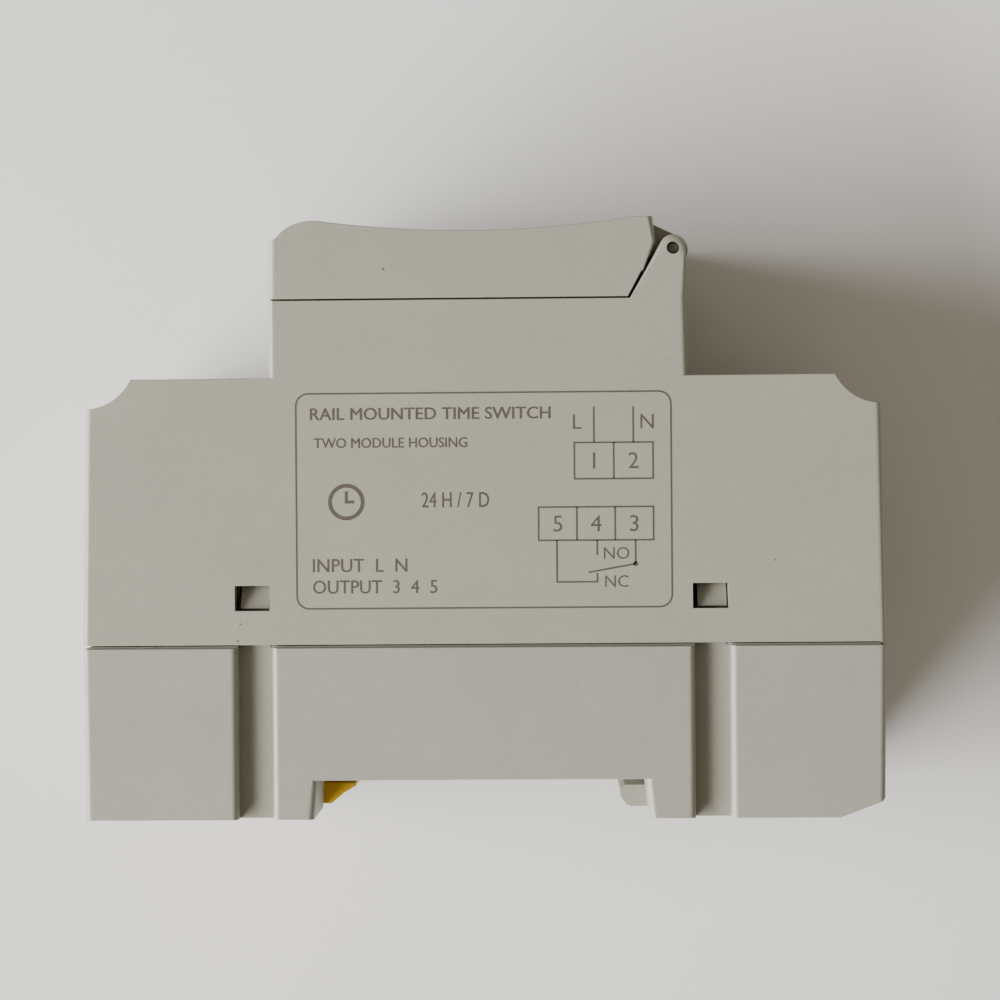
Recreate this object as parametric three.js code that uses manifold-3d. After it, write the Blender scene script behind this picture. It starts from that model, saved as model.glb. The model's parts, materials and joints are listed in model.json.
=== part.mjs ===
// A two-module timer for a 35 mm DIN rail, in millimetres, lying on one side.
// +X runs along its length towards the hinge of the lid, +Y runs from the rail to the front,
// and Z runs from one side face to the other. Heights along Y are levels above the back face.
import * as THREE from 'three';
import { mergeVertices } from 'three/addons/utils/BufferGeometryUtils.js';
import Module from 'manifold-3d';

const wasm = await Module();
wasm.setup();

// Driving dimensions
const LENGTH = 86;
const DEPTH = 64.3;
const WIDTH = 36; // two 18 mm modules
const WALL = 1.8;
const MID = WIDTH / 2;
const END = LENGTH / 2;

const SEAM = 18.4; // top edge of the base
const SEAM_GAP = 0.35;
const SHOULDER = 47.3;
const NOSE_LEFT = -22.83;
const NOSE_RIGHT = 22.05;
const LID_SEAM = 55.7;
const RAIL_SEAT = 4.2;
const SLOT_LEFT = -17.95;
const SLOT_RIGHT = 17.35;
const FLOOR = RAIL_SEAT + WALL;
const RAIL_PAD = 9.5; // width of the two pads that a rail rests on

const PIN = { x: 20.56, y: 60.9, radius: 0.6 };
const EAR = { radius: 1.45, thickness: 2.2, foot: 15.95 };
const BARREL_RADIUS = 1.7;

const CHANNEL = { left: [-26.4, -22.65], right: [22.6, 26.4], depth: 2 };
const WINDOW = { bottom: 22.4, top: 25.1 };

const TERMINAL = { x: 33, pitch: 11.3, wireLevel: 28.2, barLevel: 31, barThickness: 1.2 };
const HEAD = { radius: 3.5, bottom: 38.6, top: 40.9 };
const SHANK_RADIUS = 2;
const TUNNEL_RADIUS = 3.2;

const BOARD = { bottom: 8, top: 9.6 };
const PANEL = { bottom: 53.5, top: 55.1 };
const DISPLAY_BOARD = { bottom: 47.5, top: 48.7 };

const timer = new THREE.Group();
const body = new THREE.Group();
body.position.y = -DEPTH / 2;
timer.add(body);

// Materials
const paint = (color, roughness, metalness = 0) =>
  new THREE.MeshStandardMaterial({ color, roughness, metalness });
const greyPlastic = paint(0xb9b8ad, 0.55);
const baseGrey = paint(0xb6b6ad, 0.58);
const yellowPlastic = paint(0xe0a010, 0.45);
const steel = paint(0xb8babd, 0.35, 1);
const copper = paint(0xc07a4a, 0.35, 1);
const brass = paint(0xc9a85c, 0.35, 1);
const boardGreen = paint(0x1f5c3a, 0.5);
const blackPlastic = paint(0x1d1d1f, 0.5);
const clearPlastic = paint(0xdfe6e6, 0.1);
const rubber = paint(0x6b6e70, 0.85);
const glass = paint(0xa9b39d, 0.08);
const buttonGrey = paint(0x8d9296, 0.5);
const red = paint(0xb02018, 0.3);
const ochre = paint(0xb58b3c, 0.5);
const blue = paint(0x2b4c86, 0.5);

// Solids from three.js geometries
function solid(geometry) {
  const plain = geometry.clone();
  plain.deleteAttribute('normal');
  plain.deleteAttribute('uv');
  const merged = mergeVertices(plain, 1e-4);
  const vertProperties = new Float32Array(merged.attributes.position.array);
  const triVerts = new Uint32Array(merged.index.array);
  return new wasm.Manifold(new wasm.Mesh({ numProp: 3, vertProperties, triVerts }));
}

function geometryOf(manifold) {
  const made = manifold.getMesh();
  const geometry = new THREE.BufferGeometry();
  geometry.setAttribute('position', new THREE.BufferAttribute(made.vertProperties, 3));
  geometry.setIndex(new THREE.BufferAttribute(made.triVerts, 1));
  return geometry;
}

function block([x0, x1], [y0, y1], [z0, z1]) {
  const geometry = new THREE.BoxGeometry(x1 - x0, y1 - y0, z1 - z0);
  return solid(geometry.translate((x0 + x1) / 2, (y0 + y1) / 2, (z0 + z1) / 2));
}

// A cylinder along Y between two levels
function post(x, z, radius, [y0, y1], segments = 24, topRadius = radius) {
  const geometry = new THREE.CylinderGeometry(topRadius, radius, y1 - y0, segments);
  return solid(geometry.translate(x, (y0 + y1) / 2, z));
}

// A cylinder along Z
function rod(x, y, radius, [z0, z1], segments = 24) {
  const geometry = new THREE.CylinderGeometry(radius, radius, z1 - z0, segments);
  return solid(geometry.rotateX(Math.PI / 2).translate(x, y, (z0 + z1) / 2));
}

// A cylinder along X
function bar([x0, x1], y, z, radius, segments = 24) {
  const geometry = new THREE.CylinderGeometry(radius, radius, x1 - x0, segments);
  return solid(geometry.rotateZ(Math.PI / 2).translate((x0 + x1) / 2, y, z));
}

// An outline in X and Y, extruded along Z
function slab(outline, [z0, z1]) {
  const geometry = new THREE.ExtrudeGeometry(polygon(outline), { depth: z1 - z0, bevelEnabled: false });
  return solid(geometry.translate(0, 0, z0));
}

function polygon(points) {
  return new THREE.Shape(points.map(([x, y]) => new THREE.Vector2(x, y)));
}

function add(name, shape, material) {
  const mesh = new THREE.Mesh(geometryOf(shape), material);
  mesh.name = name;
  body.add(mesh);
}

const joined = (solids) => solids.reduce((a, b) => a.add(b));
const cut = (shape, solids) => solids.reduce((a, b) => a.subtract(b), shape);
const bothSides = (make) => [make(([a, b]) => [a, b]), make(([a, b]) => [WIDTH - b, WIDTH - a])];
const tongueSpans = [CHANNEL.left, CHANNEL.right];

// The five terminals: three at the clip's end, two at the hinge's end
const terminals = [
  { number: 1, side: 1, z: MID },
  { number: 2, side: 1, z: MID + TERMINAL.pitch },
  { number: 3, side: -1, z: MID + TERMINAL.pitch },
  { number: 4, side: -1, z: MID },
  { number: 5, side: -1, z: MID - TERMINAL.pitch },
];

const around = (middle, half) => [middle - half, middle + half];

// A span of distances from the middle of the length, on the terminal's own side
const span = (side, near, far) => (side > 0 ? [near, far] : [-far, -near]);

// Upper housing: a shell open at the back and at the nose
function shoulderScoop(shape, side) {
  const drop = 3.15;
  const edge = 37.65;
  const wallX = 42.62;
  const radius = ((wallX - edge) ** 2 + drop ** 2) / (2 * drop);
  const steep = Math.asin((wallX - edge) / radius);
  const start = side < 0 ? -Math.PI / 2 : -Math.PI / 2 - steep;
  const end = side < 0 ? -Math.PI / 2 + steep : -Math.PI / 2;
  const centreY = SHOULDER - drop + radius;
  shape.absarc(side * wallX, centreY, radius, start, end, false);
}

function mirroredScoop(side) {
  const arc = new THREE.Path();
  shoulderScoop(arc, side);
  return arc.getPoints(8).map((p) => [p.x, p.y]);
}

// The outline of one ear with the nose wall below it, from the seam's end round the pin
function earOutline() {
  const run = PIN.x - EAR.foot;
  const rise = PIN.y - LID_SEAM + 0.1;
  const climb = Math.atan2(rise, run) + Math.asin(EAR.radius / Math.hypot(run, rise));
  const arc = new THREE.Path();
  arc.absarc(PIN.x, PIN.y, EAR.radius, climb + Math.PI / 2, -0.1, true);
  return arc.getPoints(12).map((p) => [p.x, p.y]);
}

function upperHousing() {
  const edge = SEAM + SEAM_GAP;
  const rim = LID_SEAM - 0.1;
  const outer = [
    [-END, edge],
    [END, edge],
    ...mirroredScoop(1).reverse(),
    [NOSE_RIGHT + 0.05, SHOULDER],
    [NOSE_RIGHT - 0.1, rim],
    [NOSE_LEFT, rim],
    [NOSE_LEFT, SHOULDER],
    ...mirroredScoop(-1).reverse(),
  ];
  const ceiling = SHOULDER - WALL;
  const innerX = END - WALL - 0.2;
  const inner = [
    [-innerX, edge - 1],
    [innerX, edge - 1],
    [innerX, ceiling - 3.8],
    [36, ceiling],
    [NOSE_RIGHT - WALL, ceiling],
    [NOSE_RIGHT - WALL, rim + 1],
    [NOSE_LEFT + WALL, rim + 1],
    [NOSE_LEFT + WALL, ceiling],
    [-36, ceiling],
    [-innerX, ceiling - 3.8],
  ];
  const hollow = slab(inner, [WALL, WIDTH - WALL]);
  const earFoot = rim - 0.3;
  const ear = [
    [EAR.foot, earFoot],
    [EAR.foot, rim],
    ...earOutline(),
    [NOSE_RIGHT - 0.1, rim],
    [NOSE_RIGHT - 0.1, earFoot],
  ];
  const ears = bothSides((turn) => slab(ear, turn([0, EAR.thickness])));
  const hingeWall = block([NOSE_RIGHT - WALL, NOSE_RIGHT - 0.15], [rim - 1, 58.7], [1, WIDTH - 1]);
  const partitions = [-1, 1].flatMap((side) =>
    [MID - TERMINAL.pitch / 2, MID + TERMINAL.pitch / 2].map((z) =>
      block(span(side, 28.2, innerX + 0.5), [22, ceiling + 0.5], [z - 0.6, z + 0.6])));
  const collars = terminals.map(({ side, z }) =>
    post(side * TERMINAL.x, z, TUNNEL_RADIUS + 1.1, [HEAD.top + 0.3, ceiling + 0.5], 28));
  const tunnels = terminals.map(({ side, z }) =>
    post(side * TERMINAL.x, z, TUNNEL_RADIUS, [HEAD.top, SHOULDER + 1], 32));
  const entries = terminals.map(({ side, z }) =>
    block(span(side, innerX - 1, END + 1), around(TERMINAL.wireLevel, 3.1), around(z, 3.4)));
  const windows = tongueSpans.flatMap(([x0, x1]) =>
    bothSides((turn) => block([x0 - 0.2, x1 - 0.2], [WINDOW.bottom, WINDOW.top], turn([-1, WALL + 0.5]))));
  const pinHole = rod(PIN.x, PIN.y, PIN.radius + 0.08, [-1, WIDTH + 1], 20);
  const envelope = slab(outer, [0, WIDTH]);
  const ribs = partitions.map((rib) => rib.intersect(envelope));
  const shell = joined([envelope.subtract(hollow), ...ears, hingeWall, ...ribs, ...collars]);
  return cut(shell, [...tunnels, ...entries, ...windows, pinHole]);
}

// Base housing: legs and blocks round the rail slot, hollow from the front
const CLIP_TRACK = { wide: [9.4, 26.6], narrow: [10.7, 25.3], ledge: 1.9 };

function baseHousing() {
  const outer = [
    [-END + 0.15, 0],
    [SLOT_LEFT - 0.35, 0],
    [SLOT_LEFT - 0.05, 3.2],
    [SLOT_LEFT, RAIL_SEAT],
    [SLOT_RIGHT, RAIL_SEAT],
    [SLOT_RIGHT + 0.05, 3.2],
    [SLOT_RIGHT + 0.45, 0],
    [38, 0],
    [END - 0.55, 1.7],
    [END - 0.2, 2.1],
    [END, SEAM],
    [-END, SEAM],
  ];
  const innerX = END - WALL - 0.2;
  const across = [WALL, WIDTH - WALL];
  const hollows = [
    block([-innerX, innerX], [FLOOR, SEAM + 3], across),
    block([20.2, 37], [WALL, FLOOR + 1], across),
    slab([[36.9, WALL], [38, WALL], [innerX, 3.2], [innerX, FLOOR + 1], [36.9, FLOOR + 1]], across),
    ...bothSides((turn) => block([-innerX, -20.2], [WALL, FLOOR + 1], turn([WALL, 7.6]))),
  ];
  // Everything within a distance of the hollow's walls, between two levels
  const inside = (inset, level) =>
    block([-innerX + inset, innerX - inset], level, [WALL + inset, WIDTH - WALL - inset]);
  const rim = inside(-0.1, [SEAM - 1.5, SEAM]).add(inside(0.3, [SEAM - 0.1, SEAM + 1.6]));
  const lip = rim.subtract(inside(0.8, [0, SEAM + 3]));
  const tongues = tongueSpans.flatMap(([x0, x1]) => bothSides((turn) => snapTongue(x0, x1, turn)));
  const pillars = tongueSpans.flatMap(([x0, x1]) =>
    bothSides((turn) => block([x0 - WALL, x1 + WALL], [0.5, SEAM], turn([0.5, CHANNEL.depth + WALL]))));
  const channels = tongueSpans.flatMap(([x0, x1]) =>
    bothSides((turn) => block([x0, x1], [-1, SEAM + 1], turn([-1, CHANNEL.depth]))));
  const fixedLip = railLip();
  const bosses = boardScrews.map(({ x, z }) => post(x, z, 2.4, [1, BOARD.bottom - 0.1]));
  const bores = boardScrews.map(({ x, z }) => post(x, z, 1.4, [2.8, BOARD.bottom + 1], 16));
  const track = [
    block([-END - 1, SLOT_LEFT + 0.1], [-1, CLIP_TRACK.ledge + 0.1], CLIP_TRACK.narrow),
    block([-END - 1, SLOT_LEFT + 0.1], [CLIP_TRACK.ledge, RAIL_SEAT], CLIP_TRACK.wide),
  ];
  const springStop = block([-36.4, -34.9], [2.3, RAIL_SEAT + 0.5], [MID - 2, MID + 2]);
  // A low step inside the seam keeps light and dust out
  const step = block([-END + 0.6, END - 0.6], [SEAM - 0.5, SEAM + 0.22], [0.5, WIDTH - 0.5]);
  const shell = cut(slab(outer, [0, WIDTH]).add(step), hollows);
  const slotWidth = [SLOT_LEFT - 0.1, SLOT_RIGHT + 0.1];
  const seatRecess = block(slotWidth, [3, RAIL_SEAT + 0.25], [RAIL_PAD, WIDTH - RAIL_PAD]);
  const filled = joined([shell, lip, ...pillars, ...bosses]);
  const open = cut(filled, [...channels, ...track, ...bores, seatRecess]);
  return joined([open, ...tongues, fixedLip, springStop]);
}

// A tongue behind each window, with a ramp whose flat side catches the window's edge
function snapTongue(x0, x1, turn) {
  const thickness = turn([CHANNEL.depth, CHANNEL.depth + WALL]);
  const stem = block([x0 + 0.35, x1 - 0.35], [SEAM - 2, WINDOW.top + 0.6], thickness);
  const catchLevel = WINDOW.bottom + 0.25;
  const foot = CHANNEL.depth + 0.2;
  const ramp = [[0.7, catchLevel], [foot, catchLevel], [foot, WINDOW.top + 0.3]];
  const shape = polygon(ramp.map(([z, y]) => [turn([z, z])[0], y]));
  const width = x1 - x0 - 0.7;
  const geometry = new THREE.ExtrudeGeometry(shape, { depth: width, bevelEnabled: false });
  // The ramp is drawn in Z and Y, so its extrusion is turned to run along X
  geometry.rotateY(-Math.PI / 2).translate(x1 - 0.35, 0, 0);
  return stem.add(solid(geometry));
}

// The fixed lip on the hinge side of the rail slot
function railLip() {
  const root = SLOT_RIGHT + 1;
  const tip = SLOT_RIGHT - 2.6;
  const outline = [
    [root, 0.1],
    [root, 2.45],
    [tip + 0.5, 2.45],
    [tip, 2.05],
    [tip + 0.05, 1.2],
    [tip + 0.7, 0.25],
    [tip + 1.1, 0.1],
  ];
  return slab(outline, [10, 26]);
}

// Lid: a hollow cap with a scooped top, an opening for its window and a barrel at the hinge
const SCOOP = { x: -1.1, low: 62.98, radius: 117, start: -16.4, end: 16.4 };
const scoopLevel = (x, offset = 0) => {
  const radius = SCOOP.radius + offset;
  return SCOOP.low + SCOOP.radius - Math.sqrt(radius ** 2 - (x - SCOOP.x) ** 2);
};

function scoopPoints(from, to, offset, steps) {
  return Array.from({ length: steps + 1 }, (_, i) => {
    const x = from + ((to - from) * i) / steps;
    return [x, scoopLevel(x, offset)];
  });
}

function lidFrame() {
  const foot = LID_SEAM + 0.08;
  const hump = new THREE.CubicBezierCurve(
    new THREE.Vector2(SCOOP.start, scoopLevel(SCOOP.start)),
    new THREE.Vector2(-18.3, 64.4),
    new THREE.Vector2(-20.6, 64.2),
    new THREE.Vector2(-22.1, 62.2),
  ).getPoints(8).map((p) => [p.x, p.y]);
  const outer = [
    [NOSE_LEFT + 0.06, foot],
    [15.75, foot],
    [17.2, 58.5],
    [17.35, 58.5],
    [18.7, 61.5],
    [18.4, DEPTH],
    ...scoopPoints(SCOOP.end, SCOOP.start, 0, 20),
    ...hump.slice(1),
    [-22.75, 62.2],
  ];
  const roof = 2;
  const inner = [
    [-21.2, foot - 1],
    [13.9, foot - 1],
    [14.2, foot],
    [16.9, 61.2],
    [16.6, 62],
    ...scoopPoints(14, -17, roof, 8),
    [-20.4, 61.4],
    [-21.2, 60.4],
  ];
  const shell = slab(outer, [0, WIDTH]).subtract(slab(inner, [1.5, WIDTH - 1.5]));
  const web = [[17.5, 63.9], [18.5, 63.65], [21.1, 62.45], [20.56, 61], [19, 60.9], [17.5, 59.5]];
  const between = [EAR.thickness + 0.3, WIDTH - EAR.thickness - 0.3];
  const barrel = rod(PIN.x, PIN.y, BARREL_RADIUS, between, 28).add(slab(web, between));
  const bore = rod(PIN.x, PIN.y, PIN.radius + 0.2, [0, WIDTH], 20);
  const opening = block([-13.5, 11.5], [58, 66], [6.5, WIDTH - 6.5]);
  const rebate = slab([...scoopPoints(-15.2, 13.2, 1.2, 12), [13.2, 66], [-15.2, 66]], [4.8, WIDTH - 4.8]);
  return cut(shell.add(barrel), [bore, opening, rebate]);
}

function lidWindow() {
  const outline = [...scoopPoints(-15, 13, 1, 14), ...scoopPoints(13, -15, 0.12, 14)];
  return slab(outline, [5, WIDTH - 5]);
}

// The sliding clip: a T-section plate with a spring slot and a hooked nose
const SPRING_SLOT = { x: [-36.7, -25], z: around(MID, 2.4) };

function railClip() {
  const plate = joined([
    block([-41, SLOT_LEFT - 0.3], [2.2, RAIL_SEAT - 0.3], [9.7, 26.3]),
    block([-42.4, SLOT_LEFT - 0.3], [0.5, 2.3], [11, 25]),
  ]);
  const nose = slab([
    [SLOT_LEFT - 0.5, 0.4],
    [SLOT_LEFT + 0.6, 0.4],
    [SLOT_LEFT + 2, 1.6],
    [SLOT_LEFT + 3.3, 2.35],
    [SLOT_LEFT + 3.2, 2.65],
    [SLOT_LEFT + 2, 2.7],
    [SLOT_LEFT - 0.5, 2.7],
  ], [11, 25]);
  const slot = block(SPRING_SLOT.x, [1.6, 5], SPRING_SLOT.z);
  const tool = block([-41.4, -40.2], [-1, 5], [MID - 3.5, MID + 3.5]);
  return cut(plate.add(nose), [slot, tool]);
}

function clipSpring() {
  const sleeve = bar([-34.6, -25.3], 2.9, MID, 1.1, 16);
  return sleeve.subtract(bar([-40, -20], 2.9, MID, 0.6, 16));
}

// Terminals
function terminalScrew({ side, z }) {
  const x = side * TERMINAL.x;
  const head = post(x, z, HEAD.radius, [HEAD.bottom, HEAD.top], 28);
  const tip = TERMINAL.barLevel + TERMINAL.barThickness + 0.3;
  const shank = post(x, z, SHANK_RADIUS, [tip, HEAD.bottom + 0.1], 20);
  const slot = block([x - 5, x + 5], [HEAD.top - 1.2, HEAD.top + 1], [z - 0.5, z + 0.5]);
  return head.add(shank).subtract(slot);
}

function terminalCage({ side, z }) {
  const x = side * TERMINAL.x;
  const top = TERMINAL.barLevel + TERMINAL.barThickness + 0.3;
  const bottom = TERMINAL.barLevel - 5.4;
  const outside = block([x - 4, x + 4], [bottom - 1.2, top + 1.5], [z - 4.5, z + 4.5]);
  const inside = block([x - 5, x + 5], [bottom, top], [z - 3.3, z + 3.3]);
  const hole = post(x, z, SHANK_RADIUS + 0.25, [top - 1, top + 3], 20);
  return cut(outside, [inside, hole]);
}

function terminalBar({ side, z }) {
  const level = [TERMINAL.barLevel, TERMINAL.barLevel + TERMINAL.barThickness];
  const blade = block(span(side, 26.6, 37.4), level, [z - 2.5, z + 2.5]);
  const tail = block(span(side, 26.6, 27.6), [BOARD.bottom - 1, level[1]], [z - 1.9, z + 1.9]);
  return blade.add(tail);
}

// Front panel and its controls
const DISPLAY = { x: [-1, 14.5], z: [4.5, 31.5] };
const buttons = [
  { name: 'button_program', x: -8, z: 6 },
  { name: 'button_clock', x: -8, z: 14 },
  { name: 'button_manual', x: -8, z: 22 },
  { name: 'button_clear', x: -8, z: 30 },
  { name: 'button_day', x: -15.5, z: 7 },
  { name: 'button_hour', x: -15.5, z: 18 },
  { name: 'button_minute', x: -15.5, z: 29 },
];
const BUTTON_RADIUS = 2.1;
const LED = { x: -3.6, z: 18, radius: 1.5 };

// A block as large as the display's glass, grown by a margin
function displayFrame(margin, level) {
  const [x0, x1] = DISPLAY.x;
  const [z0, z1] = DISPLAY.z;
  return block([x0 - margin, x1 + margin], level, [z0 - margin, z1 + margin]);
}

function frontPanel() {
  const inset = WALL + 0.15;
  const level = [PANEL.bottom, PANEL.top];
  const plate = block([NOSE_LEFT + inset, NOSE_RIGHT - inset], level, [inset, WIDTH - inset]);
  const legs = [-19.4, 18.2].flatMap((x) => [4, WIDTH - 4].map((z) =>
    post(x, z, 1.5, [DISPLAY_BOARD.top + 0.1, PANEL.bottom + 0.5], 16)));
  const screen = displayFrame(-1.2, [50, 60]);
  const holes = buttons.map(({ x, z }) => post(x, z, BUTTON_RADIUS + 0.25, [50, 60], 24));
  const lightHole = post(LED.x, LED.z, LED.radius + 0.15, [50, 60], 16);
  return cut(joined([plate, ...legs]), [screen, ...holes, lightHole]);
}

// A cap with a flange under the panel, resting 1 mm above its rubber dome
function button({ x, z }) {
  const cap = post(x, z, BUTTON_RADIUS, [PANEL.bottom - 1, PANEL.top + 1.2], 24);
  const crown = post(x, z, BUTTON_RADIUS, [PANEL.top + 1.1, PANEL.top + 1.5], 24, BUTTON_RADIUS - 0.4);
  const flange = post(x, z, BUTTON_RADIUS + 0.9, [PANEL.bottom - 1.6, PANEL.bottom - 0.4], 24);
  return joined([cap, crown, flange]);
}

function keypadMat() {
  const foot = DISPLAY_BOARD.top + 0.05;
  const sheet = block([-17.6, -4.6], [foot, foot + 0.75], [2.6, WIDTH - 2.6]);
  const domeLevel = [foot + 0.65, foot + 1.95];
  const domes = buttons.map(({ x, z }) => post(x, z, 2.6, domeLevel, 20, 1.5));
  const lightHole = post(LED.x, LED.z, LED.radius + 0.3, [40, 60], 16);
  return joined([sheet, ...domes]).subtract(lightHole);
}

function lcdGlass() {
  const [x0, x1] = DISPLAY.x;
  const [z0, z1] = DISPLAY.z;
  const rear = block([x0, x1], [PANEL.bottom - 2.2, PANEL.bottom - 1.2], [z0, z1]);
  return rear.add(block([x0 + 1, x1], [PANEL.bottom - 1.25, PANEL.bottom - 0.2], [z0, z1]));
}

function lcdBezel() {
  const outside = displayFrame(1, [DISPLAY_BOARD.top + 0.05, PANEL.bottom - 0.6]);
  return outside.subtract(displayFrame(0.2, [40, 60]));
}

function displayBoard() {
  const edge = NOSE_LEFT + WALL + 0.4;
  const level = [DISPLAY_BOARD.bottom, DISPLAY_BOARD.top];
  const plate = block([edge, 19.6], level, [WALL + 0.4, WIDTH - WALL - 0.4]);
  const linkHoles = block([-20, -18.9], [40, 60], [10, 26]);
  return plate.subtract(linkHoles);
}

// Power board and its parts
function powerBoard() {
  const plate = block([-40, 40], [BOARD.bottom, BOARD.top], [2.4, WIDTH - 2.4]);
  const margin = WALL + 0.4;
  const notches = tongueSpans.flatMap(([x0, x1]) =>
    bothSides((turn) => block([x0 - margin, x1 + margin], [0, 20], turn([0, CHANNEL.depth + margin]))));
  const screwHoles = boardScrews.map(({ x, z }) => post(x, z, 1.4, [0, 20], 16));
  const tailHoles = terminals.map(({ side, z }) =>
    block(span(side, 26.3, 27.9), [0, 20], around(z, 2.2)));
  const linkHoles = block([-20, -18.9], [0, 20], [10, 26]);
  return cut(plate, [...notches, ...screwHoles, ...tailHoles, linkHoles]);
}

const boardScrews = [-37, 37].flatMap((x) => [5.6, WIDTH - 5.6].map((z) => ({ x, z })));

function boardScrew({ x, z }) {
  const head = post(x, z, 2.3, [BOARD.top + 0.1, BOARD.top + 1.6], 20);
  const shank = post(x, z, 1.1, [3.5, BOARD.top + 0.2], 12);
  const cross = [block([x - 1.3, x + 1.3], [BOARD.top + 0.9, 20], [z - 0.3, z + 0.3]),
    block([x - 0.3, x + 0.3], [BOARD.top + 0.9, 20], [z - 1.3, z + 1.3])];
  return cut(head.add(shank), cross);
}

function boardLink() {
  const strip = block([-20.6, -18.4], [BOARD.top + 0.1, BOARD.top + 2.6], [10.4, 25.6]);
  const pitch = 2.54;
  const pins = Array.from({ length: 6 }, (_, i) => {
    const z = MID + (i - 2.5) * pitch;
    return block([-19.75, -19.15], [BOARD.bottom - 1, DISPLAY_BOARD.top + 0.5], [z - 0.3, z + 0.3]);
  });
  return joined([strip, ...pins]);
}

// A can standing on a board, with a rounded top edge, as a turned profile
function can(x, z, radius, [y0, y1], edge = 0.6) {
  const profile = [[0, y0], [radius, y0], [radius, y1 - edge], [radius - edge, y1], [0, y1]];
  const geometry = new THREE.LatheGeometry(profile.map(([r, y]) => new THREE.Vector2(r, y)), 28);
  return solid(geometry.translate(x, 0, z));
}

// A round-edged disc whose axis runs along X
function disc(x, y, z, radius, thickness) {
  const edge = thickness / 3;
  const half = thickness / 2;
  const profile = [
    [0, -half],
    [radius - edge, -half],
    [radius, -half + edge],
    [radius, half - edge],
    [radius - edge, half],
    [0, half],
  ];
  const geometry = new THREE.LatheGeometry(profile.map(([r, h]) => new THREE.Vector2(r, h)), 28);
  return solid(geometry.rotateZ(-Math.PI / 2).translate(x, y, z));
}

function rectifier() {
  const shell = block([29.3, 33.7], [BOARD.top + 0.5, BOARD.top + 3.6], [26, 32]);
  const legs = [28.9, 33.7].flatMap((x) => [27, 30.4].map((z) =>
    block([x, x + 0.4], [BOARD.top + 0.1, BOARD.top + 2], [z, z + 0.7])));
  return joined([shell, ...legs]);
}

// The relay: its case stands on the power board between the terminals
const RELAY = { x: [-8, 22], y: [BOARD.top + 0.2, 29.3], z: [5, 31] };
const COIL = { x: [-4, 9.4], y: 19.3 };
const ARMATURE_HINGE = { x: 11.9, y: 27 };

function insideRelay(inset, level) {
  return block([RELAY.x[0] + inset, RELAY.x[1] - inset], level, [RELAY.z[0] + inset, RELAY.z[1] - inset]);
}

function relayCover() {
  const outside = insideRelay(0, [RELAY.y[0] + 0.8, RELAY.y[1]]);
  return outside.subtract(insideRelay(1, [0, RELAY.y[1] - 1]));
}

function relayBase() {
  return insideRelay(1.3, [RELAY.y[0], RELAY.y[0] + 2.2]);
}

function relayBobbin() {
  const flange = (x) => block([x, x + 0.8], [COIL.y - 6.2, COIL.y + 6.2], [MID - 6.2, MID + 6.2]);
  const tube = bar(COIL.x, COIL.y, MID, 3.2, 20);
  const spool = joined([tube, flange(COIL.x[0]), flange(COIL.x[1] - 0.8)]);
  return spool.subtract(bar([-20, 20], COIL.y, MID, 2.7, 20));
}

function relayCoil() {
  const wound = bar([COIL.x[0] + 0.9, COIL.x[1] - 0.9], COIL.y, MID, 5.7, 28);
  return wound.subtract(bar([-20, 20], COIL.y, MID, 3.3, 20));
}

function relayYoke() {
  return joined([
    block([-6.3, 11.3], [26.2, 27.7], [MID - 7, MID + 7]),
    block([-6.3, -4.9], [12.7, 27.7], [MID - 7, MID + 7]),
  ]);
}

function relayArmature() {
  return block([11, 12.3], [13.8, 25.9], [MID - 6.5, MID + 6.5]);
}

function relayContactArm() {
  return joined([
    block([12.35, 12.75], [18, 24.6], [14, 22]),
    block([12.35, 19.2], [24.2, 24.6], [14, 20]),
    post(17.6, 16, 1.5, [23.6, 25.2], 20),
  ]);
}

function relayContactClosed() {
  return joined([
    block([15.8, 20.6], [26.1, 26.6], [13, 23]),
    block([20, 20.6], [12.4, 26.6], [19.4, 23]),
    post(17.6, 16, 1.5, [25.4, 26.2], 20),
  ]);
}

function relayContactOpen() {
  return joined([
    block([15.8, 20.6], [21.9, 22.3], [13, 18.6]),
    block([20, 20.6], [12.4, 22.3], [13, 18.6]),
    post(17.6, 16, 1.5, [22.2, 22.9], 20),
  ]);
}

// Assembly
add('upper_housing', upperHousing(), greyPlastic);
add('base_housing', baseHousing(), baseGrey);
add('lid_frame', lidFrame(), greyPlastic);
add('lid_window', lidWindow(), clearPlastic);
add('hinge_pin', rod(PIN.x, PIN.y, PIN.radius, [0.7, WIDTH - 0.7], 16), steel);
add('rail_clip', railClip(), yellowPlastic);
add('clip_spring', clipSpring(), steel);
for (const terminal of terminals) {
  add(`terminal_screw_${terminal.number}`, terminalScrew(terminal), steel);
  add(`terminal_cage_${terminal.number}`, terminalCage(terminal), steel);
  add(`terminal_bar_${terminal.number}`, terminalBar(terminal), copper);
}
add('front_panel', frontPanel(), greyPlastic);
for (const one of buttons) add(one.name, button(one), buttonGrey);
add('keypad_mat', keypadMat(), rubber);
add('lcd_glass', lcdGlass(), glass);
add('lcd_bezel', lcdBezel(), blackPlastic);
add('lcd_connector', block([-0.6, 1.2], [DISPLAY_BOARD.top + 0.05, PANEL.bottom - 2.3], [5, 31]), rubber);
add('display_board', displayBoard(), boardGreen);
add('status_led', can(LED.x, LED.z, LED.radius, [DISPLAY_BOARD.top + 0.05, PANEL.top + 0.5], 0.5), red);
add('microcontroller', block([2, 12], [45.9, DISPLAY_BOARD.bottom - 0.1], [13, 23]), blackPlastic);
add('quartz_crystal', rod(14.6, 46.3, 1, [15, 21], 16), steel);
add('battery', can(-10, MID, 7.7, [41.2, DISPLAY_BOARD.bottom - 0.3]), steel);
add('board_link', boardLink(), brass);
add('power_board', powerBoard(), boardGreen);
boardScrews.forEach((one, i) => add(`board_screw_${i + 1}`, boardScrew(one), steel));
add('dropper_capacitor', block([-17.9, -9.6], [BOARD.top + 0.2, 26], [5, 31]), ochre);
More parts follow.
